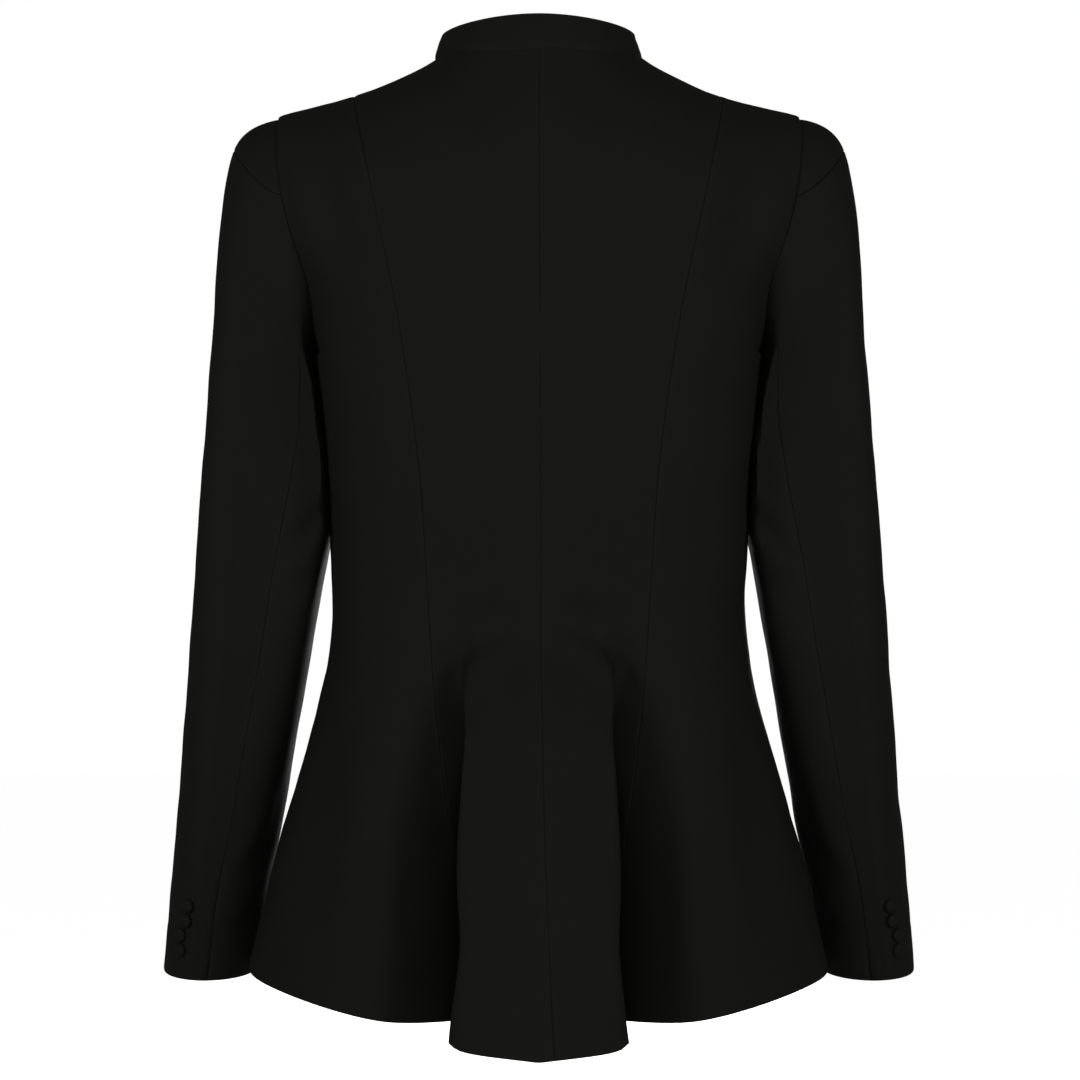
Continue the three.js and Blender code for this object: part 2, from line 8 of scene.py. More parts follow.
import bpy
import numpy as np
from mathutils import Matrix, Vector


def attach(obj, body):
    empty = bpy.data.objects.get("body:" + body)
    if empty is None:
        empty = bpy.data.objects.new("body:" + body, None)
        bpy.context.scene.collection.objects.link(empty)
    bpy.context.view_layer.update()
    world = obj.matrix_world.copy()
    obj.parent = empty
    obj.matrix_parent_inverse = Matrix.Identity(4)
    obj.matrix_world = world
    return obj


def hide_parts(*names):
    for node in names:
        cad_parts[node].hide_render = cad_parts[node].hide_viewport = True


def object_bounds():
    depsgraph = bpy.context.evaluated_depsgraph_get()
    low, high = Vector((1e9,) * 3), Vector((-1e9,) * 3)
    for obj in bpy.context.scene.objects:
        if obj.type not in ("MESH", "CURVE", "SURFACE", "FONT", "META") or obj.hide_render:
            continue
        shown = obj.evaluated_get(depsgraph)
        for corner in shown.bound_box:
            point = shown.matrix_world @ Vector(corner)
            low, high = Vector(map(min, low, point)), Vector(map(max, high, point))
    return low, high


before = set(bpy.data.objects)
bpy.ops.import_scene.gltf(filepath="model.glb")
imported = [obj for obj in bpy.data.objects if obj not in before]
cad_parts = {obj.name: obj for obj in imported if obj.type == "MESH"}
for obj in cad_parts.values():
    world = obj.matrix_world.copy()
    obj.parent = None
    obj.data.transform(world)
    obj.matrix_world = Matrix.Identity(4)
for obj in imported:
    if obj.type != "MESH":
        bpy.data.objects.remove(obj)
SOLID_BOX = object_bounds()
MM = 0.001
print("solids:", len(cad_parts), "box", SOLID_BOX)

# %% [markdown]
# The camera comes first, so that every later choice can be judged in the same picture. The jacket is
# photographed straight from behind with a long lens, level with its waist.

# %% Camera
CAMERA_DISTANCE = 2.4
CAMERA_HEIGHT = -0.333
FRAME_WIDTH = 0.7452  # width of the picture in the plane through the middle of the jacket
SENSOR_WIDTH = 36.0

camera = bpy.data.objects.new("camera", bpy.data.cameras.new("camera"))
bpy.context.scene.collection.objects.link(camera)
camera.location = (-0.0007, CAMERA_DISTANCE, CAMERA_HEIGHT)
camera.rotation_euler = (np.pi / 2, 0, np.pi)
camera.data.sensor_width = SENSOR_WIDTH
camera.data.lens = SENSOR_WIDTH * CAMERA_DISTANCE / FRAME_WIDTH
bpy.context.scene.camera = camera
print("lens", round(camera.data.lens, 1), "mm")

# %% [markdown]
# Black cloth needs soft light from both sides. Two broad boxes left and right of the camera light
# the sides evenly, and each deep fold hides its channel from the box across it, so that the channel
# goes dark by itself. Their light is a wide beam that is aimed at the shoulder blades, so it falls
# off a little towards the hem. A weak room fills the rest, and one more box lights the front. The
# floor is pale and plain. The world is white where the camera sees it and dimmer as a light, so that
# the cloth keeps its shadows.

# %% Room and lights
FLOOR_DROP = 0.30  # the floor lies this far under the hem
ROOM_FILL = 0.16

floor_height = float(SOLID_BOX[0][2]) - FLOOR_DROP
bpy.ops.mesh.primitive_plane_add(size=14, location=(0, 0, floor_height))
floor = bpy.context.object
floor.name = "floor"


def add_light(name, place, target, size, power, spread=180):
    """A square soft light that faces a point. A small spread keeps its light in a beam."""
    lamp = bpy.data.lights.new(name, "AREA")
    lamp.energy = power
    lamp.size = size
    lamp.spread = np.radians(spread)
    light = bpy.data.objects.new(name, lamp)
    bpy.context.scene.collection.objects.link(light)
    light.location = place
    light.rotation_euler = (Vector(target) - Vector(place)).to_track_quat("-Z", "Y").to_euler()
    return light


BEAM = 100  # degrees that the light of a beam spreads over
MIDDLE, BLADES = (0, 0, -0.33), (0, 0, -0.15)
add_light("soft_box_left", (1.9, 1.8, -0.15), BLADES, 0.9, 6.7, BEAM)
add_light("soft_box_right", (-1.9, 1.8, -0.15), BLADES, 0.9, 6.5, BEAM)
add_light("camera_light", (0, 2.6, 0.1), BLADES, 0.8, 5.4, BEAM)
add_light("front_light", (-0.3, -2.6, -0.3), MIDDLE, 1.2, 45)

# %% [markdown]
# Node trees are easier to read as sums. This small class wraps a socket, and Python's own operators
# add the Math nodes. Everything that isn't plain arithmetic comes from one method.


# %% Shader maths
class Wire:
    """A socket of a node tree that can be used in an expression."""

    def __init__(self, tree, socket):
        self.tree = tree
        self.socket = socket

    def node(self, kind, settings=None, values=None, output=0):
        """Adds a node, sets it up, then gives its sockets their values or links."""
        made = self.tree.nodes.new(kind)
        for key, value in (settings or {}).items():
            setattr(made, key, value)
        for key, value in (values or {}).items():
            if isinstance(value, Wire):
                self.tree.links.new(value.socket, made.inputs[key])
            else:
                made.inputs[key].default_value = value
        return Wire(self.tree, made.outputs[output])

    def maths(self, operation, *values):
        return self.node("ShaderNodeMath", {"operation": operation}, dict(enumerate(values)))

    def __add__(self, other):
        return self.maths("ADD", self, other)

    def __sub__(self, other):
        return self.maths("SUBTRACT", self, other)

    def __rsub__(self, other):
        return self.maths("SUBTRACT", other, self)

    def __mul__(self, other):
        return self.maths("MULTIPLY", self, other)

    __radd__ = __add__
    __rmul__ = __mul__

    def sine(self):
        return self.maths("SINE", self)

    def stretched(self, x, y, z=1.0):
        """A vector with each of its parts scaled."""
        scale = {0: self, 1: (x, y, z)}
        return self.node("ShaderNodeVectorMath", {"operation": "MULTIPLY"}, scale)

    def noise(self, scale, detail=2.0):
        values = {"Vector": self, "Scale": scale, "Detail": detail}
        return self.node("ShaderNodeTexNoise", {}, values)

    def blend(self, low, high):
        """A colour between two others, by this socket as the factor."""
        settings = {"data_type": "RGBA"}
        return self.node("ShaderNodeMix", settings, {0: self, 6: low, 7: high}, output=2)


def new_material(name):
    """An empty material, with its shader and a first wire into its tree."""
    material = bpy.data.materials.new(name)
    material.use_nodes = True
    shader = material.node_tree.nodes["Principled BSDF"]
    return material, shader, Wire(material.node_tree, None)


# %% [markdown]
# Suiting is a fine worsted with a crepe hand: threads too small to count from a step away, and a
# matte face. An image could hold the weave, but here two sines make the threads in the cloth's own
# coordinates, which follow the grain round every piece. Noise makes some threads thicker and some
# patches paler, and the iron leaves the seams and hems a little smoother.

# %% Suiting
THREAD = 0.42 * MM  # from one thread to the next
PALE = (0.0102, 0.0102, 0.0090, 1)
DEEP = (0.0068, 0.0068, 0.0060, 1)


def suiting(name, weave=1.0, gloss=0.0):
    """Woven cloth. weave scales its relief, and gloss makes it smoother."""
    material, shader, wire = new_material(name)
    cloth = wire.node("ShaderNodeUVMap", {"uv_map": "cloth"})
    split = cloth.node("ShaderNodeSeparateXYZ", {}, {0: cloth})
    across = split
    along = Wire(split.tree, split.socket.node.outputs[1])
    thread = (across * (np.pi / THREAD)).sine() * (along * (np.pi / THREAD)).sine()
    slubs = cloth.stretched(900, 60).noise(1.0)
    cross_slubs = cloth.stretched(60, 900).noise(1.0)
    crepe = cloth.stretched(1, 1).noise(1500)
    mottle = cloth.stretched(1, 1).noise(70, 3.0)
    patches = cloth.stretched(1, 1).noise(14)
    settings = {"attribute_name": "pressed", "attribute_type": "GEOMETRY"}
    pressed = wire.node("ShaderNodeAttribute", settings, output=2)

    tone = slubs * 0.35 + cross_slubs * 0.25 + crepe * 0.3 + mottle * 0.25 + patches * 0.2 - 0.2
    colour = tone.blend(DEEP, PALE)
    rough = 0.84 - gloss + (mottle - 0.5) * 0.1 - pressed * 0.1
    relief = thread * 0.5 + crepe * 0.9 + slubs * 0.5 + cross_slubs * 0.5
    values = {"Strength": 0.55 * weave, "Distance": 0.00012, "Height": relief}
    bump = wire.node("ShaderNodeBump", {}, values)

    links = material.node_tree.links
    links.new(colour.socket, shader.inputs["Base Color"])
    links.new(rough.socket, shader.inputs["Roughness"])
    links.new(bump.socket, shader.inputs["Normal"])
    shader.inputs["Specular IOR Level"].default_value = 0.06
    return material


SUITING = suiting("suiting")
COLLAR_SUITING = suiting("collar_suiting", weave=0.9, gloss=0.02)
BUTTON_SUITING = suiting("button_suiting", weave=1.1, gloss=0.05)
print("materials:", SUITING.name, COLLAR_SUITING.name, BUTTON_SUITING.name)

# %% [markdown]
# The floor and the room are plain white, without a pattern, so that nothing competes with the cloth.

# %% White floor and room
white, floor_shader, floor_wire = new_material("studio_white")
floor_shader.inputs["Base Color"].default_value = (0.5, 0.5, 0.5, 1)
floor_shader.inputs["Roughness"].default_value = 0.9
floor_shader.inputs["Emission Strength"].default_value = 0.9
seen = floor_wire.node("ShaderNodeLightPath", {})
glow = seen.blend((0, 0, 0, 1), (1, 1, 1, 1))
white.node_tree.links.new(glow.socket, floor_shader.inputs["Emission Color"])
floor.data.materials.append(white)

world = bpy.data.worlds.new("studio")
world.use_nodes = True
bpy.context.scene.world = world
room = Wire(world.node_tree, None)
camera_sees = room.node("ShaderNodeLightPath", {})
strength = ROOM_FILL + camera_sees * (1.0 - ROOM_FILL)
background = world.node_tree.nodes["Background"]
background.inputs["Color"].default_value = (1, 1, 1, 1)
world.node_tree.links.new(strength.socket, background.inputs["Strength"])
bpy.context.scene.view_settings.view_transform = "Standard"

# %% [markdown]
# A pattern cutter describes a body by its measures at a few levels. So do we: each table below has a
# row for each level, and a smooth line through its rows gives the measure at any height. All of
# these are in millimetres, as a cutter's are.


# %% Tables of measures
def table(columns, *rows):
    """Named columns, each one a list of numbers."""
    names = columns.split()
    return {name: np.array([row[i] for row in rows], float) for i, name in enumerate(names)}


def read(rows, key, at, column):
    """A measure at any place, on a smooth line through the rows of a table."""
    keys, values = rows[key], rows[column]
    at = np.asarray(at, float)
    sign = 1 if keys[-1] > keys[0] else -1
    i = np.clip(np.searchsorted(keys * sign, at * sign) - 1, 0, len(keys) - 2)
    before = np.maximum(np.arange(len(keys)) - 1, 0)
    after = np.minimum(np.arange(len(keys)) + 1, len(keys) - 1)
    slope = (values[after] - values[before]) / (keys[after] - keys[before])
    span = keys[i + 1] - keys[i]
    t = np.clip((at - keys[i]) / span, 0, 1)
    t2, t3 = t * t, t * t * t
    start = (2 * t3 - 3 * t2 + 1) * values[i] + (t3 - 2 * t2 + t) * span * slope[i]
    return start + (3 * t2 - 2 * t3) * values[i + 1] + (t3 - t2) * span * slope[i + 1]


def lerp(a, b, share):
    return a + (b - a) * share


def ease(value, low, high):
    """0 below low, 1 above high, and a soft step between them."""
    t = np.clip((value - low) / (high - low), 0, 1)
    return t * t * (3 - 2 * t)


def point(x, y, z):
    return np.stack(np.broadcast_arrays(x, y, z), axis=-1).astype(float)


def unit(vectors):
    length = np.linalg.norm(vectors, axis=-1, keepdims=True)
    return vectors / np.maximum(length, 1e-9)


def soft_line(knots, at):
    """A centripetal line through knots[0], knots[1] and so on, read at any place between them."""
    knots = np.stack(knots)
    ends = [2 * knots[:1] - knots[1:2], knots, 2 * knots[-1:] - knots[-2:-1]]
    knots = np.concatenate(ends)
    i = np.clip(np.floor(at).astype(int), 0, len(knots) - 4)
    t = (at - i)[..., None]
    shape = at.shape + (3,)
    spread_knots = np.broadcast_to(
        knots if knots.ndim > 2 else knots.reshape((len(knots),) + (1,) * at.ndim + (3,)),
        (len(knots),) + shape,
    )
    at_knot = [(i + k)[None, ..., None] for k in range(4)]
    picked = [np.take_along_axis(spread_knots, index, axis=0)[0] for index in at_knot]
    steps = [picked[k + 1] - picked[k] for k in range(3)]
    gaps = [np.sqrt(np.linalg.norm(step, axis=-1, keepdims=True)) for step in steps]
    gaps[1] = np.maximum(gaps[1], 1e-4)
    p0, p1, p2, p3 = picked
    d0, d1, d2 = gaps
    m1 = ((p1 - p0) / d0 - (p2 - p0) / (d0 + d1) + (p2 - p1) / d1) * d1
    m2 = ((p2 - p1) / d1 - (p3 - p1) / (d1 + d2) + (p3 - p2) / d2) * d1
    t2, t3 = t * t, t * t * t
    return p1 + m1 * t + (3 * (p2 - p1) - 2 * m1 - m2) * t2 + (2 * (p1 - p2) + m1 + m2) * t3


# %% [markdown]
# The body has a back and a front, each described at its own levels. mid is the centre seam or the
# front edge. edge is the line up to the neck point, and lower down the edge of the deep fold. seam
# is the princess seam, crest and flank lie beyond it, and side is the side seam. fold tells how far
# the centre back is folded out. Where it is, the cloth turns back behind the fold's edge and runs
# into a channel, whose bottom the edge hides, before it comes out again to the princess seam.

# %% Measures of the body
CLOTH = 2.0
COLLAR_CLOTH = 2.6
BLADE, UNDERARM, WAIST, HEM_BASE = -124.0, -205.0, -371.0, -650.0

NECK_HALF, NECK_BACK, NECK_FRONT = 69.0, 56.0, -68.0
NECK_BACK_RISE, NECK_FRONT_DROP, NECK_FRONT_POWER = 1.0, 62.0, 2.7
SHOULDER_Y, PRINCESS_TOP, SHOULDER_TIP = -2.0, 127.0, 179.0
SHOULDER = table(
    "x z", (69, 0), (78, -6), (93, -13.9), (111, -21.9), (127, -27.6), (145, -32.8), (179, -41.2)
)
ARMHOLE_DEPTH = {"back": 55.0, "front": -52.0}
ARMHOLE_SHAPE = {"back": 2.2, "front": 0.9}
LEVELS = "z midY edgeX edgeY seamX seamY crestX crestY flankX flankY sideX fold"
SECTIONS = {
    "back": table(
        LEVELS,
        (-124, 93, 50, 94, 106.5, 84, 130, 75, 151, 65, 168, 0),
        (-165, 98, 48, 99, 97.5, 92, 119, 85, 141, 70, 155.5, 0),
        (-205, 98, 47, 99, 90.5, 93, 115, 85, 141, 65, 154.3, 0),
        (-285, 90, 44, 90.5, 80, 85, 106, 77, 132, 58, 146.2, 0),
        (-371, 79, 42, 79, 74.5, 73, 100, 65, 127, 47, 142, 0),
        (-402, 82, 44, 81, 72.5, 73, 100, 67, 128, 47, 143.5, 0.2),
        (-430, 97, 49.5, 94, 70.5, 75, 100, 74, 131, 51, 148, 0.7),
        (-460, 113, 48.5, 111, 67.3, 79, 100, 83, 136, 55, 155, 1),
        (-500, 131, 50.7, 128, 62.3, 83, 101, 95, 144, 61, 167, 1),
        (-550, 152, 53, 147, 55.5, 80, 100, 105, 154, 68, 181, 1),
        (-600, 171, 51.2, 164, 50, 80, 101, 116, 164, 75, 193, 1),
        (-650, 189, 57, 180, 47.5, 80, 103, 126, 172, 82, 204, 1),
    ),
    "front": table(
        LEVELS,
        (-124, -98, 48, -98, 104, -86, 125, -76, 143, -64, 158, 0),
        (-165, -115, 47, -117, 97, -107, 117, -94, 136, -71, 153, 0),
        (-205, -127, 46, -130, 91, -122, 114, -105, 134, -66, 154.3, 0),
        (-240, -129, 45, -132, 87, -126, 111, -107, 132, -64, 150.8, 0),
        (-300, -115, 42, -117, 78, -109, 104, -92, 129, -54, 145, 0),
        (-371, -98, 38, -99, 70, -92, 98, -76, 124, -45, 142, 0),
        (-430, -106, 39, -107, 72, -100, 101, -83, 129, -49, 148, 0),
        (-500, -122, 42, -124, 79, -116, 112, -95, 143, -55, 167, 0),
        (-600, -142, 47, -146, 91, -138, 130, -111, 163, -66, 193, 0),
        (-650, -150, 50, -156, 97, -148, 139, -118, 172, -71, 204, 0),
    ),
}
HEM = {
    "back": table(
        "c z",
        (0, -664.7),
        (0.8, -658),
        (1, -654.5),
        (2, -653),
        (3, -648),
        (4, -635.5),
        (5, -627.6),
    ),
    "front": table(
        "c z", (-1, -628), (0, -628), (1, -629), (2, -630), (3, -630), (4, -629), (5, -627.6)
    ),
}
CORNER_FADE = 6
TURN_IN, TURN_DEPTH = 0.5, 11.0  # how far behind the fold's edge the cloth has turned back
CHANNEL_IN, CHANNEL_DEPTH = 4.0, 9.0  # how far behind the edge and under the seam the bottom lies

# %% [markdown]
# Now the cutting surface of the body. A place on it has two numbers: c counts round the body from
# the middle (0) over the neck point's line (1) and the princess seam (2) to the side (5), and r
# counts down from the top edge (0) over the blades (1), the underarm (2) and the waist (3) to the
# hem (4). A mesh could be sculpted instead, but a surface with coordinates lets every seam lie
# exactly on its neighbour's.


# %% Surface of the body
def neck_point(face, turn):
    angle = np.clip(turn, -1, 1) * np.pi / 2
    depth = NECK_BACK if face == "back" else NECK_FRONT
    cos = np.cos(angle)
    z = NECK_BACK_RISE * cos if face == "back" else -NECK_FRONT_DROP * cos**NECK_FRONT_POWER
    return point(NECK_HALF * np.sin(angle), SHOULDER_Y + (depth - SHOULDER_Y) * cos, z)


def top_point(face, c):
    inner = lerp(NECK_HALF, PRINCESS_TOP, c - 1)
    x = np.where(c <= 2, inner, lerp(PRINCESS_TOP, SHOULDER_TIP, (c - 2) / 3))
    shoulder = point(x, SHOULDER_Y, read(SHOULDER, "x", x, "z"))
    return np.where((np.abs(c) <= 1)[..., None], neck_point(face, c), shoulder)


def soft_top(face, c):
    """The top edge as one soft line, without the corner at the neck point."""
    half = list(top_point(face, np.array([0.0, 1.0, 2.0, 5.0])))
    knots = [p * (-1, 1, 1) for p in half[:0:-1]] + half
    place = np.abs(c)
    index = np.where(place <= 2, place, 2 + (place - 2) / 3)
    return soft_line(knots, 3 + np.sign(c) * index)


STATIONS = np.array([0, 0.8, 1, 1.15, 1.6, 2, 3, 4, 5])


def section_point(face, c, z):
    at = {name: read(SECTIONS[face], "z", z, name) for name in LEVELS.split()[1:]}
    fold = np.clip(at["fold"], 0, 1)
    fall = np.clip((BLADE - z) / (BLADE - UNDERARM), 0, 1)
    side_y = ARMHOLE_DEPTH[face] * np.sqrt(1 - fall * fall)
    edge_x, edge_y, seam_x, seam_y = (at[n] for n in ("edgeX", "edgeY", "seamX", "seamY"))
    face_y = lerp(at["midY"], edge_y, lerp(0.64, 0.5, fold))
    return_x = lerp(lerp(edge_x, seam_x, 0.2), edge_x - TURN_IN, fold)
    return_y = lerp(lerp(edge_y, seam_y, 0.15), edge_y - TURN_DEPTH, fold)
    inside_x = lerp(lerp(edge_x, seam_x, 0.6), edge_x - CHANNEL_IN, fold)
    inside_y = lerp(lerp(edge_y, seam_y, 0.54), seam_y - CHANNEL_DEPTH, fold)
    half = [
        point(0 * z, at["midY"], z),
        point(edge_x * lerp(0.8, 0.88, fold), face_y, z),
        point(edge_x, edge_y, z),
        point(return_x, return_y, z),
        point(inside_x, inside_y, z),
        point(seam_x, seam_y, z),
        point(at["crestX"], at["crestY"], z),
        point(at["flankX"], at["flankY"], z),
        point(at["sideX"], side_y, z),
    ]
    other = SECTIONS["front" if face == "back" else "back"]
    round_side = point(read(other, "z", z, "flankX"), read(other, "z", z, "flankY"), z)
    straight_on = 2 * half[-1] - half[-2]
    half.append(np.where((z <= UNDERARM)[..., None], round_side, straight_on))
    knots = [p * (-1, 1, 1) for p in half[:0:-1]] + half
    index = np.interp(np.abs(c), STATIONS, np.arange(len(STATIONS)))
    return soft_line(knots, len(half) - 1 + np.sign(c) * index)


def body(face, c, r):
    """A point of the body's outer face, or many of them."""
    c, r = (np.array(a, float) for a in np.broadcast_arrays(c, r))
    place = np.abs(c)
    even = r - 1
    lean = lerp(even, np.sin(even * np.pi / 2), ease(place, 2, 5))
    hem = read(HEM[face], "c", place if face == "back" else c, "z")
    z = np.where(r < 2, lerp(BLADE, UNDERARM, lean), lerp(UNDERARM, WAIST, r - 2))
    z = np.where(r >= 3, lerp(WAIST, hem, r - 3), z)
    z = np.where(r < 1, BLADE, z)
    main = section_point(face, c, np.maximum(z, HEM_BASE))
    above = section_point(face, c, np.full_like(z, HEM_BASE + 10))
    below = np.minimum(z - HEM_BASE, 0)[..., None] / 10
    main = main + (above - main) * below * (z < HEM_BASE)[..., None]

    angle = np.clip(r, 0, 1) * np.pi / 2
    sink = 1 - np.cos(angle)
    round_off = np.sin(angle) ** lerp(2, 1, ease(place, 0, 1))
    shape = lerp(1, ARMHOLE_SHAPE[face], ease(place, 3, 5))
    soft = soft_top(face, c)
    corner = (top_point(face, c) - soft) * ((1 - sink) ** CORNER_FADE)[..., None]
    share = np.stack([sink**shape, round_off, sink], axis=-1)
    upper = lerp(soft, main, share) + corner
    return np.where((r < 1)[..., None], upper, main)


print("hem at the middle of the back:", body("back", 0, 4).round(1))

# %% [markdown]
# A sleeve hangs from the armhole. Its head leaves the shoulder at right angles, as a padded, squared
# head does, bends over and goes on as a slightly bent tube. The place round the arm is an angle (0
# on top, 90 at the back, 180 underneath), and s counts from the armhole (0) past the upper arm (1)
# to the cuff (2). In the table, full squares the tube off, and corner pushes out its inner back
# corner, where the arm lies flat against the body.

# %% Measures of the sleeve
SLEEVE = table(
    "z innerX outerX midY depth full corner",
    (-237, 150.4, 227.5, -17, 56, 0.48, 15),
    (-285, 145.2, 231.8, -19, 53, 0.48, 14),
    (-325, 144.2, 235.4, -19, 50, 0.44, 9),
    (-345, 147, 236.9, -18, 49, 0.4, 5),
    (-371, 151.5, 239, -17, 48, 0.34, 2),
    (-412, 158.6, 242.3, -17, 48, 0.25, 0),
    (-475, 169.6, 247.8, -22, 47, 0.17, 0),
    (-526, 178.5, 252.5, -28, 46.5, 0.1, 0),
    (-578, 188.5, 257.8, -35, 46, 0.04, 0),
    (-634, 198.3, 262.8, -43, 45.5, 0, 0),
)
CORNER_ANGLE, CORNER_REACH = 147, 15
BICEP, CUFF, CUFF_DROP = -237.0, -634.0, 3.0
HEAD_TOP = (2.0, 1, 0, -0.15, 48, 155)
HEAD_BACK = (0.9, 0.95, 0.1, -0.3, 30, 62)
HEAD_UNDER = (0, 0.05, -0.35, -0.9, 11, 10)
HEAD_FRONT = (0.9, 0.9, -0.25, -0.35, 30, 62)
HEAD_CORNER = (0.4, 0.3, 0.3, -0.6, 24, 30)
HEAD = table(
    "angle step outX outY outZ leave arrive",
    (-90,) + HEAD_FRONT,
    (0,) + HEAD_TOP,
    (90,) + HEAD_BACK,
    (135,) + HEAD_CORNER,
    (180,) + HEAD_UNDER,
    (270,) + HEAD_FRONT,
    (360,) + HEAD_TOP,
    (450,) + HEAD_BACK,
)
RIDGE_ANGLE = 20
CAP_HALF, CAP_LENGTH, CAP_CURVE = 73.0, 0.355, 0.62
ELBOW_PLACE, FRONT_SEAM = 100.0, 232.0
ELBOW_SEAM = table(
    "s angle",
    (0, 134),
    (1, 120.5),
    (1.12, 109.5),
    (1.24, 102),
    (1.44, 101.2),
    (1.71, 96.7),
    (1.85, 92.5),
    (2, 93),
)


# %% Surface of the sleeve
def armhole(angle):
    """Edge of the body at an angle round the arm, and the body's normal there."""
    turn = np.minimum(angle, 360 - angle)
    small = 0.01
    points, normals = {}, {}
    for face, sign in (("back", 1), ("front", -1)):
        points[face] = body(face, 5, turn / 90)
        round_body = points[face] - body(face, 5 - small, turn / 90)
        low = np.maximum(turn / 90 - small, 0)
        down = body(face, 5, turn / 90 + small) - body(face, 5, low)
        normals[face] = unit(np.cross(round_body, down)) * sign
        normals[face][..., 1] *= ease(turn, 0, RIDGE_ANGLE)
    back = (angle <= 180)[..., None]
    return [np.where(back, half["back"], half["front"]) for half in (points, normals)]


def sleeve_ring(angle, z):
    at = {name: read(SLEEVE, "z", z, name) for name in SLEEVE}
    half = (at["outerX"] - at["innerX"]) / 2
    out, back = np.cos(np.radians(angle)), np.sin(np.radians(angle))
    drop = CUFF_DROP * back * ease(-z, -BICEP, -CUFF)
    x = at["innerX"] + half + half * out * (1 + at["full"] * back**2)
    y = at["midY"] + at["depth"] * back * (1 + at["full"] * out**2)
    inner_corner = np.exp(-(((angle - CORNER_ANGLE) / CORNER_REACH) ** 2))
    return point(x, y + at["corner"] * inner_corner, z - drop)


def sleeve(angle, s):
    """A point of the sleeve's outer face, or many of them."""
    angle, s = (np.array(a, float) for a in np.broadcast_arrays(angle, s))
    angle = angle % 360
    at = {name: read(HEAD, "angle", angle, name) for name in HEAD}
    start, normal = armhole(angle)
    start = start - normal * at["step"][..., None]
    end = sleeve_ring(angle, np.full_like(s, BICEP))
    rise = unit(end - sleeve_ring(angle, np.full_like(s, BICEP - 10)))
    out = unit(point(at["outX"], at["outY"], at["outZ"]))
    t = np.clip(s, 0, 1)[..., None]
    knots = [start, start + out * at["leave"][..., None], end + rise * at["arrive"][..., None], end]
    weights = [(1 - t) ** 3, 3 * t * (1 - t) ** 2, 3 * t * t * (1 - t), t**3]
    head = sum(knot * weight for knot, weight in zip(knots, weights))
    arm = sleeve_ring(angle, lerp(BICEP, CUFF, np.maximum(s - 1, 0)))
    return np.where((s < 1)[..., None], head, arm)


def cap_edge(place):
    """Seam between the cap piece and the top sleeve."""
    turn = np.abs((place + 180) % 360 - 180) / CAP_HALF
    return np.where(turn < 1, CAP_LENGTH * np.cos(np.clip(turn, 0, 1) * np.pi / 2) ** CAP_CURVE, 0)


def angle_at(place, s):
    """The real angle of a place, which is counted so that the elbow seam is at ELBOW_PLACE."""
    seam = read(ELBOW_SEAM, "s", s, "angle")
    top = lerp(CAP_HALF, seam, (place - CAP_HALF) / (ELBOW_PLACE - CAP_HALF))
    under = lerp(seam, FRONT_SEAM, (place - ELBOW_PLACE) / (FRONT_SEAM - ELBOW_PLACE))
    return np.where(place <= CAP_HALF, place, np.where(place <= ELBOW_PLACE, top, under))


def arm_piece(place, share):
    s = np.where(share < 1, lerp(cap_edge(place), 1, share), share)
    return sleeve(angle_at(place, s), s)


def cap_piece(place, share):
    return sleeve(place, share * cap_edge(place))


print("sleeve ends at", sleeve(0, 2).round(1), "and", sleeve(180, 2).round(1))

# %% [markdown]
# The collar is a low stand, cut in one and stiffened. It rises from the neckline and leans in.

# %% Surface of the collar
COLLAR = table("turn rise lean", (0, 21.5, 8), (1, 15, 5), (2, 19, 7))
TUCK, TUCK_LEAN = -0.16, -0.7  # its lower edge is tucked inside the neckline


def collar(turn, v):
    """turn is 0 at the middle of the back and 2 at the front, and v runs up from the neckline."""
    place = np.abs(turn)
    base = np.where(
        (place <= 1)[..., None], neck_point("back", place), neck_point("front", 2 - place)
    )
    row = np.where(place <= 1, 0, 1)
    share = ease(place - row, 0, 1)
    lean = lerp(COLLAR["lean"][row], COLLAR["lean"][row + 1], share) * np.maximum(v, TUCK_LEAN * v)
    rise = lerp(COLLAR["rise"][row], COLLAR["rise"][row + 1], share) * v
    inward = unit(base * (-1 / NECK_HALF, -1 / NECK_BACK, 0))
    made = base + inward * lean[..., None] + point(0, 0, rise)
    return made * point(np.where(turn < 0, -1, 1), 1, 1)


print("collar stands", collar(np.array(0.0), np.array(1.0))[2], "mm at the back")
